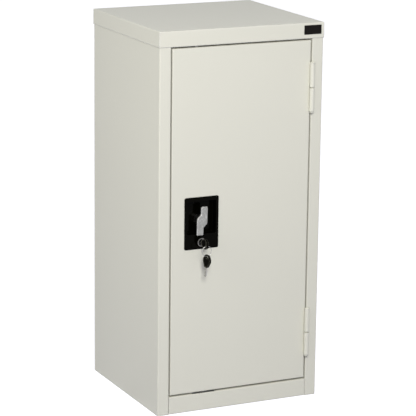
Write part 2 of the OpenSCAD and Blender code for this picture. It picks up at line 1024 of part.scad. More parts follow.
// Shouldered pins riveted in the latch plate, each with a head behind its rod
module rod_pins() {
    shoulder_rim = 1;
    head_rim = 1.25;
    shoulder_d = rod_pin_d + 2 * shoulder_rim;
    head_d = rod_pin_d + 2 * head_rim;
    head_h = 1.2;
    color(steel)
        for (i = [0, 180]) {
            x = handle_x + pin_circle_r * cos(i + pin_angle);
            z = handle_z + pin_circle_r * sin(i + pin_angle);
            door_bar(x, z, rod_pin_d, latch_depth, pin_head_depth - latch_depth + eps);
            door_bar(x, z, shoulder_d, latch_back, clear / 2);
            door_bar(x, z, head_d, pin_head_depth, head_h);
        }
}

// Screw from behind the latch layer, with a cross recess in its head
module rear_screw(z, d, l, head_d, head_h) {
    cross_l = head_d * 0.5;
    cross_w = head_d * 0.13;
    cross_depth = head_h * 0.6;
    difference() {
        union() {
            door_bar(handle_x, z, d, latch_back - l, l + eps);
            door_bar(handle_x, z, head_d, latch_back, head_h);
        }
        door_plate(latch_back + head_h - cross_depth, head_h)
            translate([handle_x, z]) {
                square([cross_l, cross_w], center = true);
                square([cross_w, cross_l], center = true);
            }
    }
}

module latch_screw() {
    head_d = 11;
    head_h = 2.4;
    color(steel)
        rear_screw(handle_z, latch_screw_d, latch_screw_l, head_d, head_h);
}

// Locking rod up from the handle's axis: a wide slotted end on the pin, a joggle and a long straight.
// Its side outline lies in the plane of depth behind the door's face and height.
module locking_rod(reach) {
    end = 7;
    chamfer = 1;
    half = rod_t / 2;
    mitre = half * tan(22.5);
    joggle_end = joggle_start + rod_depth - rod_edge_depth;
    slot_r = rod_slot_h / 2;
    translate([-rod_x, 0, 0])
        difference() {
            intersection() {
                rotate([90, 0, 90])
                    linear_extrude(2 * rod_end_w, center = true)
                        polygon([
                            [rod_depth + half, -pin_high - end],
                            [rod_depth + half, joggle_start + mitre],
                            [rod_edge_depth + half, joggle_end + mitre],
                            [rod_edge_depth + half, reach - chamfer],
                            [rod_edge_depth + half - chamfer, reach],
                            [rod_edge_depth - half + chamfer, reach],
                            [rod_edge_depth - half, reach - chamfer],
                            [rod_edge_depth - half, joggle_end - mitre],
                            [rod_depth - half, joggle_start - mitre],
                            [rod_depth - half, -pin_high - end]
                        ]);
                rotate([90, 0, 0])
                    linear_extrude(4 * rod_depth, center = true) {
                        translate([-rod_end_w / 2, -pin_high - end])
                            square([rod_end_w, 2 * end]);
                        translate([-rod_w / 2, -pin_high])
                            square([rod_w, 2 * reach]);
                    }
            }
            translate([0, rod_depth - rod_t, -pin_high])
                rotate([-90, 0, 0])
                    linear_extrude(2 * rod_t) {
                        square([rod_slot_l - rod_slot_h, rod_slot_h], center = true);
                        for (i = [-1, 1])
                            translate([i * (rod_slot_l / 2 - slot_r), 0])
                                circle(slot_r);
                    }
        }
}

module upper_rod() {
    color(steel)
        translate([handle_x, front_y, handle_z])
            locking_rod(upper_reach);
}

module lower_rod() {
    color(steel)
        translate([handle_x, front_y, handle_z])
            mirror([1, 0, 0])
                mirror([0, 0, 1])
                    locking_rod(lower_reach);
}

// Lock

module lock_housing() {
    bevel = 1;
    length = barrel_back - lock_ring_front;
    color(steel)
        difference() {
            translate([handle_x, front_y + lock_ring_front, lock_z])
                rotate([-90, 0, 0]) {
                    cylinder(d1 = lock_ring_d - 2 * bevel, d2 = lock_ring_d, h = bevel);
                    translate([0, 0, bevel])
                        cylinder(d = lock_ring_d, h = lock_ring_h - bevel);
                    cylinder(d = barrel_d, h = length);
                }
            door_bar(handle_x, lock_z, plug_d + 2 * fit, lock_ring_front - 1, length + 2);
        }
}

module lock_nut() {
    flats = 20;
    nut_h = 3;
    color(zinc)
        hex_nut(handle_x, lock_z, flats, barrel_d + 2 * fit, sheet, nut_h);
}

module lock_plug() {
    slot_t = blade_t + clear;
    slot_w = blade_w + clear;
    color(steel)
        difference() {
            union() {
                door_bar(handle_x, lock_z, plug_d, lock_ring_front, plug_back - lock_ring_front);
                door_plate(plug_back - 1, latch_back - plug_back + 1 - square_play)
                    translate([handle_x, lock_z])
                        square(plug_sq, center = true);
            }
            door_plate(lock_ring_front - 1, blade_l + 2)
                translate([handle_x, lock_z])
                    square([slot_t, slot_w], center = true);
            door_bar(handle_x, lock_z, cam_screw_d + 2 * fit, latch_back - cam_screw_l - 0.5, latch_back);
        }
}

module lock_cam() {
    hub_d = 13;
    color(zinc)
        door_plate(latch_depth, latch_t)
            translate([handle_x, lock_z])
                difference() {
                    union() {
                        circle(d = hub_d);
                        translate([0, -lock_cam_w / 2])
                            square([lock_cam_l - lock_cam_w / 2, lock_cam_w]);
                        translate([lock_cam_l - lock_cam_w / 2, 0])
                            circle(d = lock_cam_w);
                    }
                    square(plug_sq + square_play, center = true);
                }
}

module lock_cam_screw() {
    head_d = 8;
    head_h = 2;
    color(steel)
        rear_screw(lock_z, cam_screw_d, cam_screw_l, head_d, head_h);
}

// Keys. A key is drawn with its blade along +X from the bow's base at the origin and its bow along -X.

// Outline of the bow, drawn in by a margin: an eight-sided shape, widest beyond its middle
module bow_outline(margin) {
    soft = 2.2;
    wide = bow_w / 2 - soft;
    hull()
        for (p = [
            [-bow_l + soft, 0.52 * wide],
            [-0.66 * bow_l, wide],
            [-0.48 * bow_l, wide],
            [-soft, 0.36 * wide]
        ])
            for (i = [-1, 1])
                translate([p[0], i * p[1]])
                    circle(soft - margin, $fn = 32);
}

module bow_hole(margin) {
    for (i = [-1, 1])
        translate([-bow_hole_y, i * bow_hole_end])
            circle(d = bow_hole_w + 2 * margin);
    translate([-bow_hole_y, 0])
        square([bow_hole_w + 2 * margin, 2 * bow_hole_end], center = true);
}

// The bow is sunk on both faces inside a rim, and a collar goes round its hole
module bow() {
    rim = 1.4;
    sunk = 0.5;
    collar = 1.2;
    color(black)
        difference() {
            linear_extrude(bow_t, center = true)
                bow_outline(0);
            for (i = [-1, 1])
                translate([0, 0, i * bow_t / 2])
                    linear_extrude(2 * sunk, center = true)
                        difference() {
                            bow_outline(rim);
                            bow_hole(collar);
                        }
            linear_extrude(2 * bow_t, center = true)
                bow_hole(0);
            translate([-blade_tang, -blade_w / 2, -blade_t / 2])
                cube([blade_tang + 1, blade_w, blade_t]);
        }
}

// Blade with bitting cut along its upper edge and a sloped tip
module blade() {
    cuts = [1.4, 2.2, 1.0, 1.8];
    cut_pitch = 3.6;
    slope = 2.5;
    nose = 2;
    color(steel)
        translate([0, 0, -blade_t / 2])
            linear_extrude(blade_t)
                difference() {
                    translate([-blade_tang, -blade_w / 2])
                        square([blade_tang + blade_l, blade_w]);
                    for (i = [0 : len(cuts) - 1])
                        translate([4 + i * cut_pitch, blade_w / 2])
                            polygon([[-2, 0.1], [-0.6, -cuts[i]], [0.6, -cuts[i]], [2, 0.1]]);
                    translate([blade_l, -blade_w / 2])
                        polygon([[eps, -eps], [-slope, -eps], [eps, slope]]);
                    translate([blade_l, blade_w / 2])
                        polygon([[eps, eps], [-nose, eps], [eps, -nose]]);
                }
}

// Puts a drawn key in the lock: blade along +Y, its flat upright
module in_lock() {
    translate([handle_x, key_base_y, lock_z])
        rotate([90, 0, 90])
            children();
}

module key_blade() {
    in_lock()
        blade();
}

module key_bow() {
    in_lock()
        bow();
}

// Hangs a drawn key from the ring's lowest point, its flat upright
module on_ring() {
    translate([handle_x, ring_y, ring_low_z - ring_seat])
        rotate([90, 0, 90 + spare_turn])
            rotate(-90 + spare_lean)
                translate([bow_hole_y, -bow_hole_end])
                    children();
}

module spare_key_blade() {
    on_ring()
        blade();
}

module spare_key_bow() {
    on_ring()
        bow();
}

// Split ring: two turns of wire side by side
module split_ring() {
    color(steel)
        translate([handle_x, ring_y, ring_top_z - ring_r])
            rotate([90, 0, 0])
                rotate_extrude()
                    translate([ring_r, 0]) {
                        for (i = [-1, 1])
                            translate([0, i * (ring_wire / 2 - ring_turn_r)])
                                circle(r = ring_turn_r, $fn = 24);
                        square([ring_turn_r, ring_wire - 2 * ring_turn_r], center = true);
                    }
}

top_cap();
left_side();
right_side();
back_panel();
bottom_pan();
header();
standard_left_front();
standard_left_rear();
standard_right_front();
standard_right_rear();
upper_shelf();
lower_shelf();
upper_shelf_clips();
lower_shelf_clips();
top_strike();
bottom_strike();
door_bumpers();
upper_frame_hinge();
lower_frame_hinge();
upper_hinge_pin();
lower_hinge_pin();
door_panel();
door_stiffener();
upper_door_hinge();
lower_door_hinge();
handle_pan();
pan_bracket();
pan_nuts();
upper_rod_guide();
lower_rod_guide();
turn_handle();
latch_plate();
rod_pins();
latch_screw();
upper_rod();
lower_rod();
lock_housing();
lock_nut();
lock_plug();
lock_cam();
lock_cam_screw();
key_blade();
key_bow();
split_ring();
spare_key_blade();
spare_key_bow();
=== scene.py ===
# %% [markdown]
# # Wall-mounted steel storage cabinet
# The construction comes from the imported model: folded sheet case, door, hinges, latch and lock.
# This lesson dresses it. Each step says what the real surface is, how it could be made, and why
# this way was chosen. Everything is in metres, with the door facing -Y and +Z up.

# %% Load the frame
import json
import math

import bmesh
import bpy
from mathutils import Matrix, Vector


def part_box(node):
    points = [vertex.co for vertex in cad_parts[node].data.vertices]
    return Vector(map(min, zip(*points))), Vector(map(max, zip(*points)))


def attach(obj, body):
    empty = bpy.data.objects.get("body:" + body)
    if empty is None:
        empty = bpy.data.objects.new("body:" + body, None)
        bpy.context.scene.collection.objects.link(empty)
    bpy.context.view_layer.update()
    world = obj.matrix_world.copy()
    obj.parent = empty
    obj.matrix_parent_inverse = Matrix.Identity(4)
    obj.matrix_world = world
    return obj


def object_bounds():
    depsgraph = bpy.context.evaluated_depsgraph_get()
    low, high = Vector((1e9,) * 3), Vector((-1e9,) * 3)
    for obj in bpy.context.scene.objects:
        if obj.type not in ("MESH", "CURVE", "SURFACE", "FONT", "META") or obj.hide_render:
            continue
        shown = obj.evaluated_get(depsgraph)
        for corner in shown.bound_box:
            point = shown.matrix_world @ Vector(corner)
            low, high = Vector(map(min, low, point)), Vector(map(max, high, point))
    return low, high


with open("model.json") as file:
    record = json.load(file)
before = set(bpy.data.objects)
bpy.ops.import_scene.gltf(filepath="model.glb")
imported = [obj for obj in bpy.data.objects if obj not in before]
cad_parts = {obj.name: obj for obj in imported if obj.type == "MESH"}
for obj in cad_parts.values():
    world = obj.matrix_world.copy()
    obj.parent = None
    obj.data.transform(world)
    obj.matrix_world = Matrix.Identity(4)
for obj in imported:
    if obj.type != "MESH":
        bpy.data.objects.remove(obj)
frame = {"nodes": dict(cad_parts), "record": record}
cad_box = [list(corner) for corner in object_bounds()]
nodes = frame["nodes"]
low, high = (Vector(corner) for corner in cad_box)
slot_of = {part["node"]: part["material_slot"] for part in frame["record"]["subparts"]}
print("nodes:", len(nodes), "size in mm:", [round(1000 * side) for side in high - low])

# %% [markdown]
# ## Camera
# A product photograph like this is taken from a few metres away with a long lens, so the upright
# edges lean together only slightly. A camera could be dragged into place by eye, but numbers can
# be corrected one at a time: where it looks, from which direction and how far, its small roll,
# and its lens. The lens is worked out for a 36 mm wide sensor.

# %% Camera
LOOK_AT = Vector((0.0066, -0.1640, -0.0128))
AZIMUTH = math.radians(-25.58)
ELEVATION = math.radians(13.63)
ROLL = math.radians(0.67)
DISTANCE = 4.3388
FOCAL_PIXELS = 2142.8
PICTURE_PIXELS = 416
SENSOR_MM = 36.0
FAR_CLIP = 60.0


def make_camera():
    back = Vector((math.sin(AZIMUTH) * math.cos(ELEVATION),
                   -math.cos(AZIMUTH) * math.cos(ELEVATION),
                   math.sin(ELEVATION)))
    right = Vector((0, 0, 1)).cross(back).normalized()
    up = back.cross(right)
    rolled_right = right * math.cos(ROLL) + up * math.sin(ROLL)
    rolled_up = up * math.cos(ROLL) - right * math.sin(ROLL)
    turn = Matrix((rolled_right, rolled_up, back)).transposed()
    data = bpy.data.cameras.new("camera")
    data.sensor_width = SENSOR_MM
    data.lens = FOCAL_PIXELS / PICTURE_PIXELS * SENSOR_MM
    data.clip_end = FAR_CLIP
    camera = bpy.data.objects.new("camera", data)
    camera.rotation_mode = "QUATERNION"
    camera.rotation_quaternion = turn.to_quaternion()
    camera.location = LOOK_AT + back * DISTANCE
    bpy.context.scene.collection.objects.link(camera)
    bpy.context.scene.camera = camera
    return camera


camera = make_camera()
print("camera at", [round(x, 3) for x in camera.location], "lens", round(camera.data.lens, 1), "mm")

# %% [markdown]
# ## Small helpers for node trees
# Every finish below is a tree of shader nodes. Written out in full, each node takes a line to
# make, a line for each setting and a line for each link. These helpers do that in one call: a
# value is typed into the socket, and another node's output is linked to it. Sums and noise come
# up so often that each has a helper of its own.

# %% Node helpers
def set_sockets(tree, node, values):
    """Type each value into the node's socket of that name, or link another output to it."""
    for key, value in values.items():
        socket = node.inputs[key]
        if isinstance(value, bpy.types.NodeSocket):
            tree.links.new(value, socket)
        else:
            socket.default_value = value


def add_node(tree, kind, settings=None, inputs=None):
    node = tree.nodes.new(kind)
    for name, value in (settings or {}).items():
        setattr(node, name, value)
    set_sockets(tree, node, inputs or {})
    return node


def sum_of(tree, operation, *values, clamp=False):
    settings = {"operation": operation, "use_clamp": clamp}
    return add_node(tree, "ShaderNodeMath", settings, dict(enumerate(values))).outputs[0]


def noise_of(tree, place, scale, detail, **more):
    inputs = {"Vector": place, "Scale": scale, "Detail": detail, **more}
    return add_node(tree, "ShaderNodeTexNoise", None, inputs).outputs["Fac"]


def own_place(tree):
    """The place on the piece itself, in metres, so a pattern stays on a piece that moves."""
    return add_node(tree, "ShaderNodeTexCoord").outputs["Object"]


print("node helpers ready")

# %% [markdown]
# ## Groups with named sockets
# An effect that several finishes share could be copied into each of them, but then a correction
# has to be made in every copy. A node group is built once, and each finish gives it its own
# values through its named inputs. This helper makes an empty group with its sockets.

# %% Group helper
FLOAT = "NodeSocketFloat"
COLOUR = "NodeSocketColor"
VECTOR = "NodeSocketVector"


def new_group(name, inputs, outputs):
    tree = bpy.data.node_groups.new(name, "ShaderNodeTree")
    for label, kind, value in inputs:
        socket = tree.interface.new_socket(label, in_out="INPUT", socket_type=kind)
        socket.default_value = value
    for label, kind in outputs:
        tree.interface.new_socket(label, in_out="OUTPUT", socket_type=kind)
    given = tree.nodes.new("NodeGroupInput").outputs
    return tree, given, tree.nodes.new("NodeGroupOutput")


print("group helper ready")

# %% [markdown]
# ## Mottle
# No sprayed, plated or moulded surface is one flat colour. Its brightness drifts by a few percent
# over a hand's width, and again over a few millimetres. The group below multiplies a colour by
# two sizes of noise, measured in metres on the object itself, so the pattern stays on each piece
# when it moves. Its mask lets a material vary its roughness by the same drift.

# %% Mottle group
# How much of the drift is the fine noise.
FINE_SHARE = 0.35


def make_mottle():
    tree, given, out = new_group(
        "mottle",
        [("Color", COLOUR, (0.8, 0.8, 0.8, 1)), ("Amount", FLOAT, 0.03),
         ("Patches per metre", FLOAT, 4.0), ("Fine ratio", FLOAT, 14.0)],
        [("Color", COLOUR), ("Mask", FLOAT)])
    place = own_place(tree)
    fine_scale = sum_of(tree, "MULTIPLY", given["Patches per metre"], given["Fine ratio"])
    broad = noise_of(tree, place, given["Patches per metre"], detail=2.0)
    fine = noise_of(tree, place, fine_scale, detail=4.0, Roughness=0.6)
    both = add_node(tree, "ShaderNodeMix", {"data_type": "FLOAT"},
                    {"Factor": FINE_SHARE, "A": broad, "B": fine}).outputs["Result"]
    centred = sum_of(tree, "SUBTRACT", both, 0.5)
    doubled = sum_of(tree, "MULTIPLY", centred, 2.0)
    brightness = sum_of(tree, "MULTIPLY_ADD", doubled, given["Amount"], 1.0)
    toned = add_node(tree, "ShaderNodeHueSaturation", None,
                     {"Value": brightness, "Color": given["Color"]}).outputs["Color"]
    set_sockets(tree, out, {"Color": toned, "Mask": fine})
    return tree


mottle = make_mottle()
print("group:", mottle.name, "nodes:", len(mottle.nodes))

# %% [markdown]
# ## Skin
# Sprayed enamel dries with a fine orange peel, moulded plastic copies a faintly sparked tool,
# and thin sheet is never quite flat, so reflections wander slowly across a panel. All three are
# heights of different sizes. One group gives a grain and a slow wave, and a Bump node turns
# the height into a normal. Real displacement would need millions of faces for the same look.

# %% Skin group
def make_skin():
    tree, given, out = new_group(
        "skin",
        [("Grain per metre", FLOAT, 900.0), ("Waves per metre", FLOAT, 6.0),
         ("Wave height", FLOAT, 1.0)],
        [("Height", FLOAT)])
    place = own_place(tree)
    grain = noise_of(tree, place, given["Grain per metre"], detail=1.5, Roughness=0.45)
    wave = noise_of(tree, place, given["Waves per metre"], detail=1.0)
    height = sum_of(tree, "MULTIPLY_ADD", wave, given["Wave height"], grain)
    set_sockets(tree, out, {"Height": height})
    return tree


skin = make_skin()
print("group:", skin.name, "nodes:", len(skin.nodes))

# %% [markdown]
# ## Edges
# Where sheet is folded or a casting is trimmed, the corner is never razor sharp: it catches a
# thin line of light. A bevel modifier on every piece would change the meshes, so the Bevel node
# rounds only the shading. The same node also finds the corners: where the rounded normal leaves
# the flat one, there is an edge. Finishes lay a lighter colour along that mask: on some it is
# wear, and on the paint, the handle's bevels and the key heads' rims it is a painted highlight.

# %% Edges group
def make_edges():
    tree, given, out = new_group(
        "edges",
        [("Radius", FLOAT, 0.0006), ("Gain", FLOAT, 4.0)],
        [("Mask", FLOAT), ("Normal", VECTOR)])
    rounded = add_node(tree, "ShaderNodeBevel", {"samples": 4},
                       {"Radius": given["Radius"]}).outputs["Normal"]
    flat = add_node(tree, "ShaderNodeNewGeometry").outputs["Normal"]
    same = add_node(tree, "ShaderNodeVectorMath", {"operation": "DOT_PRODUCT"},
                    {0: rounded, 1: flat}).outputs["Value"]
    apart = sum_of(tree, "SUBTRACT", 1.0, same)
    mask = sum_of(tree, "MULTIPLY", apart, given["Gain"], clamp=True)
    set_sockets(tree, out, {"Mask": mask, "Normal": rounded})
    return tree


edges = make_edges()
print("group:", edges.name, "nodes:", len(edges.nodes))

# %% [markdown]
# ## Brushing
# Satin metal is rubbed in one direction, and its lines stretch along that direction. Noise
# squeezed across the lines and stretched along them gives exactly that. The vector says how many
# lines a metre there are along each axis.

# %% Brushing group
def make_brushing():
    tree, given, out = new_group(
        "brushing",
        [("Lines per metre", VECTOR, (3000.0, 3000.0, 60.0))],
        [("Height", FLOAT), ("Mask", FLOAT)])
    stretched = add_node(tree, "ShaderNodeVectorMath", {"operation": "MULTIPLY"},
                         {0: own_place(tree), 1: given["Lines per metre"]}).outputs["Vector"]
    lines = noise_of(tree, stretched, scale=1.0, detail=3.0, Roughness=0.65)
    set_sockets(tree, out, {"Height": lines, "Mask": lines})
    return tree


brushing = make_brushing()
print("group:", brushing.name, "nodes:", len(brushing.nodes))

# %% [markdown]
# ## Handling marks
# Gloss plastic and plated metal that hands touch carry dull smears, which change only the
# roughness. Dust on rubber and worn specks on a plated casting are smaller, and they change the
# colour a little. All of them are blobs of noise, cut off so that most of the surface stays
# clean, so one mask does for them, at a different size and coverage in each finish.

# %% Handling marks group
# How high the noise rises where a mark is at its fullest.
FULL_MARK = 0.8


def make_marks():
    tree, given, out = new_group(
        "handling_marks",
        [("Marks per metre", FLOAT, 60.0), ("Coverage", FLOAT, 0.45)],
        [("Mask", FLOAT)])
    smear = noise_of(tree, own_place(tree), given["Marks per metre"], detail=3.0,
                     Distortion=0.6)
    start = sum_of(tree, "SUBTRACT", 1.0, given["Coverage"])
    mask = add_node(tree, "ShaderNodeMapRange", {"interpolation_type": "SMOOTHSTEP"},
                    {"Value": smear, "From Min": start, "From Max": FULL_MARK}).outputs["Result"]
    set_sockets(tree, out, {"Mask": mask})
    return tree


marks = make_marks()
print("group:", marks.name, "nodes:", len(marks.nodes))

# %% [markdown]
# ## Material helpers
# A group is placed in a material like any node. A fresh material keeps its Principled BSDF, and
# every finish sets that shader's own sockets where a value is the same all over. The finished
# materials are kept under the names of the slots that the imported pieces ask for.

# %% Material helpers
finishes = {}


def new_finish(name):
    material = bpy.data.materials.new(name)
    material.use_nodes = True
    return material, material.node_tree, material.node_tree.nodes["Principled BSDF"]


def place_group(tree, group, **inputs):
    """The group's outputs. In a keyword, an underscore stands for a space in a socket's name."""
    values = {label.replace("_", " "): value for label, value in inputs.items()}
    return add_node(tree, "ShaderNodeGroup", {"node_tree": group}, values).outputs


def keep_finish(slot, material):
    finishes[slot] = material
    print("finish:", material.name, "nodes:", len(material.node_tree.nodes))


print("material helpers ready")

# %% [markdown]
# ## From masks to looks
# A mask runs from 0 to 1 over the surface, and a finish uses it in one of two ways: as a range
# of values, such as the roughness, or to lay one colour over another. A height goes through a
# Bump node, which tilts the normal as if the surface rose and fell.

# %% Masks, tints and bumps
# A Mix node has sockets for each kind of data. These are the places of the ones for colours.
MIX_MASK, MIX_UNDER, MIX_OVER, MIX_RESULT = 0, 6, 7, 2


def vary(tree, mask, start, end):
    """A value that goes from start to end as the mask goes from 0 to 1."""
    inputs = {"Value": mask, "To Min": start, "To Max": end}
    return add_node(tree, "ShaderNodeMapRange", None, inputs).outputs["Result"]


def tint(tree, colour, other, mask):
    """The colour, with the other one laid over it where the mask is 1."""
    inputs = {MIX_MASK: mask, MIX_UNDER: colour, MIX_OVER: other}
    return add_node(tree, "ShaderNodeMix", {"data_type": "RGBA"}, inputs).outputs[MIX_RESULT]


def bumped(tree, height, normal, strength, distance):
    """The normal, tilted by a height that is as deep as the distance, in metres."""
    inputs = {"Height": height, "Normal": normal, "Strength": strength, "Distance": distance}
    return add_node(tree, "ShaderNodeBump", None, inputs).outputs["Normal"]


print("mask helpers ready")

# %% [markdown]
# ## Enamelled sheet
# The case, door, shelves and hinges are steel with one pale warm grey enamel, satin, with a
# fine orange peel. The colour is written as it looks in plain light. A thin clear coat gives
# the soft sheen that baked enamel has over its duller pigment. Along folded edges the colour is
# laid lighter, as a painted highlight. How strong it is is given to the function, because the
# cap's folds get a much stronger painted highlight than the rest.

# %% Cabinet paint
PAINT = (0.720, 0.712, 0.628, 1)
PAINT_EDGE_HIGHLIGHT = (0.960, 0.955, 0.910, 1)


def cabinet_paint(name="cabinet_paint_finish", fold_highlight_gain=1.0):
    material, tree, shader = new_finish(name)
    drift = place_group(tree, mottle, Color=PAINT, Amount=0.018, Patches_per_metre=3.0,
                        Fine_ratio=22.0)
    corners = place_group(tree, edges, Radius=0.0030, Gain=fold_highlight_gain)
    peel = place_group(tree, skin, Grain_per_metre=850.0, Waves_per_metre=5.0, Wave_height=14.0)
    set_sockets(tree, shader, {
        # The lighter colour laid along the folds is a painted highlight.
        "Base Color": tint(tree, drift["Color"], PAINT_EDGE_HIGHLIGHT, corners["Mask"]),
        "Roughness": vary(tree, drift["Mask"], start=0.36, end=0.48),
        "Specular IOR Level": 0.38,
        "Coat Weight": 0.08,
        "Coat Roughness": 0.3,
        "Normal": bumped(tree, peel["Height"], corners["Normal"], strength=0.35,
                         distance=0.00012),
    })
    return material


keep_finish("cabinet_paint", cabinet_paint())

# %% [markdown]
# ## Plated steel inside
# Shelf standards, strike plates, latch parts and brackets are pressed steel with a thin zinc
# plating. It is a nearly neutral grey with soft bluish patches, and fine rolling lines show
# through it. Zinc dulls quickly: a pale film grows on it in patches, and there it is less of a
# metal to the eye, so the same patches lower the Metallic value.

# %% Zinc plate
ZINC = (0.46, 0.46, 0.448, 1)
ZINC_BLUE = (0.40, 0.425, 0.455, 1)
ZINC_RUBBED = (0.62, 0.62, 0.61, 1)


def zinc_plate():
    material, tree, shader = new_finish("zinc_plate_finish")
    drift = place_group(tree, mottle, Color=ZINC, Amount=0.08, Patches_per_metre=40.0,
                        Fine_ratio=12.0)
    lines = place_group(tree, brushing, Lines_per_metre=(2200.0, 2200.0, 120.0))
    corners = place_group(tree, edges, Radius=0.0004, Gain=5.0)
    blue = vary(tree, drift["Mask"], start=0.0, end=0.5)
    patchy = tint(tree, drift["Color"], ZINC_BLUE, blue)
    set_sockets(tree, shader, {
        "Base Color": tint(tree, patchy, ZINC_RUBBED, corners["Mask"]),
        "Roughness": vary(tree, lines["Mask"], start=0.48, end=0.66),
        "Metallic": vary(tree, drift["Mask"], start=0.80, end=0.50),
        "Normal": bumped(tree, lines["Height"], corners["Normal"], strength=0.2,
                         distance=0.00005),
    })
    return material


keep_finish("zinc_plate", zinc_plate())

# %% [markdown]
# ## Satin handle
# The handle is a zinc casting with a satin nickel finish, slightly warm, with a fine upright
# rub, bevels painted brighter as a highlight, and small bright specks where it is worn. Its
# colour is written darker than nickel is: metal mirrors its room, and this room is white on
# every side.

# %% Handle satin
NICKEL = (0.268, 0.266, 0.248, 1)
NICKEL_WEAR_AND_HIGHLIGHT = (0.90, 0.90, 0.88, 1)


def handle_satin():
    material, tree, shader = new_finish("handle_satin_finish")
    drift = place_group(tree, mottle, Color=NICKEL, Amount=0.30, Patches_per_metre=90.0,
                        Fine_ratio=6.0)
    lines = place_group(tree, brushing, Lines_per_metre=(2600.0, 2600.0, 90.0))
    corners = place_group(tree, edges, Radius=0.0009, Gain=6.0)
    smears = place_group(tree, marks, Marks_per_metre=120.0, Coverage=0.4)
    specks = place_group(tree, marks, Marks_per_metre=420.0, Coverage=0.55)
    worn = vary(tree, specks["Mask"], start=0.0, end=0.45)
    rubbed = tint(tree, drift["Color"], NICKEL_WEAR_AND_HIGHLIGHT, worn)
    set_sockets(tree, shader, {
        # The lighter colour on the bevels is a painted highlight. The specks above are wear.
        "Base Color": tint(tree, rubbed, NICKEL_WEAR_AND_HIGHLIGHT, corners["Mask"]),
        "Roughness": vary(tree, smears["Mask"], start=0.30, end=0.42),
        "Metallic": 1.0,
        "Normal": bumped(tree, lines["Height"], corners["Normal"], strength=0.25,
                         distance=0.00006),
    })
    return material


keep_finish("handle_satin", handle_satin())

# %% [markdown]
# ## Bare steel
# Locking rods, screws, the split ring and the key blades are plain drawn or ground steel.
# Drawing leaves long lines, and the steel is darker and shinier than the dull zinc beside it,
# with a bright line on rubbed corners.

# %% Bare steel
STEEL = (0.40, 0.395, 0.38, 1)
STEEL_RUBBED = (0.74, 0.73, 0.71, 1)


def bare_steel():
    material, tree, shader = new_finish("bare_steel_finish")
    drift = place_group(tree, mottle, Color=STEEL, Amount=0.12, Patches_per_metre=60.0,
                        Fine_ratio=10.0)
    lines = place_group(tree, brushing, Lines_per_metre=(3200.0, 3200.0, 50.0))
    corners = place_group(tree, edges, Radius=0.0003, Gain=6.0)
    set_sockets(tree, shader, {
        "Base Color": tint(tree, drift["Color"], STEEL_RUBBED, corners["Mask"]),
        "Roughness": vary(tree, lines["Mask"], start=0.26, end=0.42),
        "Metallic": 1.0,
        "Normal": bumped(tree, lines["Height"], corners["Normal"], strength=0.25,
                         distance=0.00004),
    })
    return material


keep_finish("bare_steel", bare_steel())

# %% [markdown]
# ## Chrome
# The lock's ring and plug are polished and chromed. Chrome is nearly a mirror, so its look is
# mostly what it reflects, and in this white room it would turn white. Its colour is written
# dark instead, the way chrome looks where black plastic surrounds it. Faint smears keep it from
# looking like glass.

# %% Lock chrome
CHROME = (0.175, 0.170, 0.162, 1)
CHROME_EDGE = (0.26, 0.26, 0.26, 1)


def lock_chrome():
    material, tree, shader = new_finish("lock_chrome_finish")
    drift = place_group(tree, mottle, Color=CHROME, Amount=0.05, Patches_per_metre=120.0,
                        Fine_ratio=8.0)
    corners = place_group(tree, edges, Radius=0.0004, Gain=4.0)
    smears = place_group(tree, marks, Marks_per_metre=260.0, Coverage=0.45)
    polish = place_group(tree, skin, Grain_per_metre=2500.0, Waves_per_metre=300.0,
                         Wave_height=1.0)
    set_sockets(tree, shader, {
        "Base Color": tint(tree, drift["Color"], CHROME_EDGE, corners["Mask"]),
        "Roughness": vary(tree, smears["Mask"], start=0.10, end=0.24),
        "Metallic": 1.0,
        "Normal": bumped(tree, polish["Height"], corners["Normal"], strength=0.05,
                         distance=0.00002),
    })
    return material


keep_finish("lock_chrome", lock_chrome())

# %% [markdown]
# ## Gloss black pan
# The handle pan is moulded in gloss black plastic. It is nearly black, and what shows is its
# reflections: sharp where it is clean, and a little broken where hands have smeared it. The
# reflections are kept weak, because a white room would lay a grey veil over the black.

# %% Pan black
PAN = (0.0012, 0.0011, 0.0003, 1)
PAN_EDGE = (0.012, 0.011, 0.008, 1)


def pan_black():
    material, tree, shader = new_finish("pan_black_finish")
    drift = place_group(tree, mottle, Color=PAN, Amount=0.25, Patches_per_metre=30.0,
                        Fine_ratio=12.0)
    corners = place_group(tree, edges, Radius=0.0008, Gain=2.0)
    smears = place_group(tree, marks, Marks_per_metre=70.0, Coverage=0.5)
    moulding = place_group(tree, skin, Grain_per_metre=1600.0, Waves_per_metre=45.0,
                           Wave_height=3.0)
    set_sockets(tree, shader, {
        "Base Color": tint(tree, drift["Color"], PAN_EDGE, corners["Mask"]),
        "Roughness": vary(tree, smears["Mask"], start=0.10, end=0.26),
        "Specular IOR Level": 0.03,
        "Normal": bumped(tree, moulding["Height"], corners["Normal"], strength=0.12,
                         distance=0.00006),
    })
    return material


keep_finish("pan_black", pan_black())

# %% [markdown]
# ## Moulded key heads
# The keys' heads are moulded in a harder, duller black plastic. Its fine spark grain scatters
# light, and the raised rims are painted paler than the sunk panels as a highlight. A wide radius
# in the edges group finds the rims, so no mask has to be painted.

# %% Key black
KEY_PLASTIC = (0.0030, 0.0028, 0.0020, 1)
KEY_RIM_HIGHLIGHT = (0.150, 0.146, 0.115, 1)


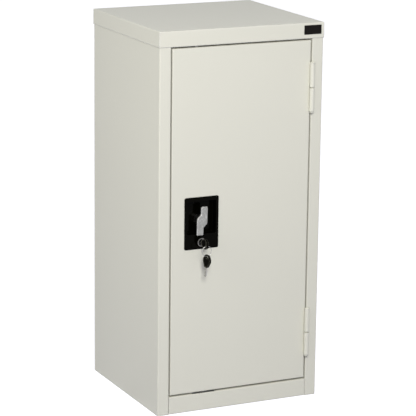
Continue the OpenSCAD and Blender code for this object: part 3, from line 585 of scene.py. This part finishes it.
def key_black():
    material, tree, shader = new_finish("key_black_finish")
    drift = place_group(tree, mottle, Color=KEY_PLASTIC, Amount=0.25, Patches_per_metre=120.0,
                        Fine_ratio=9.0)
    corners = place_group(tree, edges, Radius=0.0010, Gain=6.0)
    sparked = place_group(tree, skin, Grain_per_metre=3500.0, Waves_per_metre=200.0,
                          Wave_height=0.5)
    set_sockets(tree, shader, {
        # The paler rims are a painted highlight.
        "Base Color": tint(tree, drift["Color"], KEY_RIM_HIGHLIGHT, corners["Mask"]),
        "Roughness": vary(tree, drift["Mask"], start=0.36, end=0.52),
        "Specular IOR Level": 0.02,
        "Normal": bumped(tree, sparked["Height"], corners["Normal"], strength=0.4,
                         distance=0.00006),
    })
    return material


keep_finish("key_black", key_black())

# %% [markdown]
# ## Rubber bumpers
# Small black rubber buttons quiet the door. Rubber is matt, with no sheen, and dust settles on
# it in fine specks. The dust is a tint laid over the colour where the marks group puts it.

# %% Bumper rubber
RUBBER = (0.026, 0.025, 0.024, 1)
RUBBER_DUST = (0.095, 0.092, 0.085, 1)


def bumper_rubber():
    material, tree, shader = new_finish("bumper_rubber_finish")
    drift = place_group(tree, mottle, Color=RUBBER, Amount=0.20, Patches_per_metre=150.0,
                        Fine_ratio=8.0)
    dust = place_group(tree, marks, Marks_per_metre=500.0, Coverage=0.55)
    corners = place_group(tree, edges, Radius=0.0004, Gain=2.0)
    matt = place_group(tree, skin, Grain_per_metre=4000.0, Waves_per_metre=300.0,
                       Wave_height=0.4)
    dusty = vary(tree, dust["Mask"], start=0.0, end=0.5)
    set_sockets(tree, shader, {
        "Base Color": tint(tree, drift["Color"], RUBBER_DUST, dusty),
        "Roughness": vary(tree, drift["Mask"], start=0.70, end=0.90),
        "Specular IOR Level": 0.25,
        "Normal": bumped(tree, matt["Height"], corners["Normal"], strength=0.5,
                         distance=0.0001),
    })
    return material


keep_finish("bumper_rubber", bumper_rubber())

# %% [markdown]
# ## Dressing the imported pieces
# Every imported piece already has a material slot, named in its record. The finish goes into that
# slot, and the mesh isn't touched. The cap then gets its own paint, with a stronger painted
# highlight on its folds.

# %% Dress the nodes
for name, piece in nodes.items():
    piece.material_slots[0].material = finishes[slot_of[name]]
# The cap's stronger fold tint is a painted highlight.
nodes["top_cap"].material_slots[0].material = cabinet_paint("cap_highlight_paint_finish", fold_highlight_gain=5.0)
print("dressed:", {slot: sum(slot_of[n] == slot for n in nodes) for slot in finishes})

# %% [markdown]
# ## Bare plate on the top flange
# A small dark plate sits near the right end of the cap's front flange. It could be a painted
# rectangle, but it has a thickness and a rolled rim that catch the light, so it is a real piece:
# a rounded outline, raised, with its face sunk inside a narrow rim. It carries nothing. First
# comes the outline, a rectangle whose corners are quarter circles.

# %% Outline of the plate
PLATE_WIDTH = 0.0378
PLATE_HEIGHT = 0.0182
PLATE_CORNER = 0.0012
LEAST_CORNER = 0.0002


def rounded_outline(width, height, radius, steps=6):
    points = []
    for turn, (sx, sz) in enumerate(((1, 1), (-1, 1), (-1, -1), (1, -1))):
        for step in range(steps + 1):
            angle = math.radians(90 * (turn + step / steps))
            points.append((sx * (width / 2 - radius) + radius * math.cos(angle),
                           sz * (height / 2 - radius) + radius * math.sin(angle)))
    return points


def plate_outline(margin):
    """The plate's outline, drawn in by a margin."""
    corner = max(PLATE_CORNER - margin, LEAST_CORNER)
    return rounded_outline(PLATE_WIDTH - 2 * margin, PLATE_HEIGHT - 2 * margin, corner)


print("points in the plate's outline:", len(plate_outline(0.0)))

# %% [markdown]
# ## Body of the plate
# A bevel and an inset could be made with modifiers. Here the plate is drawn as six closed rows
# of points, from the flange outwards, over the rolled edge and down into the sunk face, because
# then each step of the section can be read as two numbers: how far in, and how deep.

# %% Bare plate
PLATE_THICKNESS = 0.0007
PLATE_RIM = 0.0009
PLATE_SUNK = 0.0002
ROLLED_EDGE = 0.00025
ROLLED_MIDDLE = 0.00008
PLATE_X = 0.1508
PLATE_Z = 0.3670


def new_piece(name, mesh):
    """An object in the scene, made from a bmesh."""
    data = bpy.data.meshes.new(name)
    mesh.to_mesh(data)
    mesh.free()
    piece = bpy.data.objects.new(name, data)
    bpy.context.scene.collection.objects.link(piece)
    return piece


def make_plate():
    mesh = bmesh.new()
    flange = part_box("top_cap")[0].y
    face = flange - PLATE_THICKNESS
    steps = [(0.0, flange), (0.0, face + ROLLED_EDGE),
             (ROLLED_MIDDLE, face + ROLLED_MIDDLE), (ROLLED_EDGE, face),
             (PLATE_RIM - PLATE_SUNK, face), (PLATE_RIM, face + PLATE_SUNK)]
    rows = [[mesh.verts.new((PLATE_X + x, y, PLATE_Z + z)) for x, z in plate_outline(margin)]
            for margin, y in steps]
    for outer, inner in zip(rows, rows[1:]):
        for i in range(len(outer)):
            j = (i + 1) % len(outer)
            mesh.faces.new((outer[i], outer[j], inner[j], inner[i]))
    mesh.faces.new(rows[-1])
    mesh.faces.new(reversed(rows[0]))
    bmesh.ops.recalc_face_normals(mesh, faces=mesh.faces)
    return new_piece("bare_plate", mesh)


plate = make_plate()
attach(plate, "case")
print("plate faces:", len(plate.data.polygons))

# %% [markdown]
# ## Finish of the plate
# The plate is anodised aluminium: dark, with a fine sideways rub and a brighter rim. It takes
# the same groups as the other metals, with the lines running across. The dyed layer over the
# metal is no mirror, so the Metallic value is low.

# %% Plate finish
ANODISED = (0.004, 0.003, 0.0022, 1)
ANODISED_RIM = (0.06, 0.052, 0.048, 1)


def plate_finish():
    material, tree, shader = new_finish("bare_plate_finish")
    drift = place_group(tree, mottle, Color=ANODISED, Amount=0.20, Patches_per_metre=80.0,
                        Fine_ratio=10.0)
    lines = place_group(tree, brushing, Lines_per_metre=(120.0, 2600.0, 2600.0))
    corners = place_group(tree, edges, Radius=0.0003, Gain=4.0)
    set_sockets(tree, shader, {
        "Base Color": tint(tree, drift["Color"], ANODISED_RIM, corners["Mask"]),
        "Roughness": vary(tree, lines["Mask"], start=0.30, end=0.48),
        "Metallic": 0.3,
        "Specular IOR Level": 0.15,
        "Normal": bumped(tree, lines["Height"], corners["Normal"], strength=0.3,
                         distance=0.00004),
    })
    return material


plate.data.materials.append(plate_finish())
print("finish:", plate.data.materials[0].name)

# %% [markdown]
# ## A switch for the white ground
# The photograph's ground is pure white. A floor and a room lit to white would throw that light
# on the cabinet and wash it out. The Light Path node tells what a ray is for, so the ground can
# be white where it is seen, straight or in a mirror, and stay dim where it lights other things.

# %% Seen rays
WHITE = (1, 1, 1, 1)


def seen_ray(tree):
    """1 for rays from the camera, mirrors and glass, and 0 for the rays that light things."""
    path = add_node(tree, "ShaderNodeLightPath").outputs
    straight = sum_of(tree, "MAXIMUM", path["Is Camera Ray"], path["Is Glossy Ray"])
    return sum_of(tree, "MAXIMUM", straight, path["Is Transmission Ray"])


print("switch for seen rays ready")

# %% [markdown]
# ## Floor
# The floor is a large sheet in a cool mid grey. It is lit like anything else, so it keeps the
# cabinet's soft shadow, and the glow that the switch adds lifts the rest of it to white. It lies
# a hair under the cabinet, so that the two surfaces don't flicker through each other.

# %% Floor
FLOOR_HALF = 30.0
FLOOR_UNDER = 0.0002
FLOOR_TONE = (0.42, 0.425, 0.51, 1)
FLOOR_LIFT = 0.90


def floor_finish():
    material, tree, shader = new_finish("floor_finish")
    tone = place_group(tree, mottle, Color=FLOOR_TONE, Amount=0.01, Patches_per_metre=0.6,
                       Fine_ratio=10.0)
    set_sockets(tree, shader, {
        "Base Color": tone["Color"],
        "Roughness": vary(tree, tone["Mask"], start=0.85, end=0.95),
        "Specular IOR Level": 0.1,
        "Emission Color": WHITE,
        "Emission Strength": sum_of(tree, "MULTIPLY", seen_ray(tree), FLOOR_LIFT),
    })
    return material


def make_floor():
    mesh = bmesh.new()
    half = FLOOR_HALF
    corners = [(-half, -half), (half, -half), (half, half), (-half, half)]
    mesh.faces.new([mesh.verts.new((x, y, low.z - FLOOR_UNDER)) for x, y in corners])
    floor = new_piece("floor", mesh)
    floor.data.materials.append(floor_finish())
    return floor


floor = make_floor()
print("floor at z", round(floor.data.vertices[0].co.z, 4))

# %% [markdown]
# ## Light
# One large soft box up at the front left gives the photograph's fall of light: the door is the
# brightest, the left side a little darker, the top darker still, and everything fades gently
# towards the floor. A weak one from the left keeps the side from falling too dark.

# %% Lights
def soft_box(name, place, target, size, watts, colour):
    data = bpy.data.lights.new(name, "AREA")
    data.shape = "SQUARE"
    data.size = size
    data.energy = watts
    data.color = colour
    light = bpy.data.objects.new(name, data)
    light.location = place
    light.rotation_mode = "QUATERNION"
    light.rotation_quaternion = (Vector(place) - Vector(target)).to_track_quat("Z", "Y")
    bpy.context.scene.collection.objects.link(light)
    return light


key_light = soft_box("key_light", place=(-0.7, -2.6, 1.4), target=(0.0, -0.2, 0.15),
                     size=1.0, watts=54.0, colour=(1.0, 0.99, 0.965))
side_light = soft_box("side_light", place=(-1.2, -0.4, 0.4), target=(0.0, -0.15, 0.2),
                      size=0.8, watts=4.8, colour=(1.0, 0.985, 0.88))
print("lights in watts:", {light.name: round(light.data.energy, 1)
                           for light in (key_light, side_light)})

# %% [markdown]
# ## Room
# A dim, slightly cool room fills the shadows, as the walls of a studio do. The same switch as
# for the floor makes it white only to the camera and in reflections. The plain Standard view
# shows colours about as they are written.

# %% Room
ROOM = 0.31
ROOM_COLOUR = (0.97, 0.985, 1.0, 1)


def make_world():
    world = bpy.data.worlds.new("room")
    bpy.context.scene.world = world
    world.use_nodes = True
    tree = world.node_tree
    dim = tree.nodes["Background"]
    set_sockets(tree, dim, {"Color": ROOM_COLOUR, "Strength": ROOM})
    white = add_node(tree, "ShaderNodeBackground", None, {"Color": WHITE, "Strength": 1.0})
    mixed = add_node(tree, "ShaderNodeMixShader", None,
                     {0: seen_ray(tree), 1: dim.outputs[0], 2: white.outputs[0]})
    set_sockets(tree, tree.nodes["World Output"], {"Surface": mixed.outputs[0]})


make_world()
bpy.context.scene.view_settings.view_transform = "Standard"
print("room strength:", ROOM)
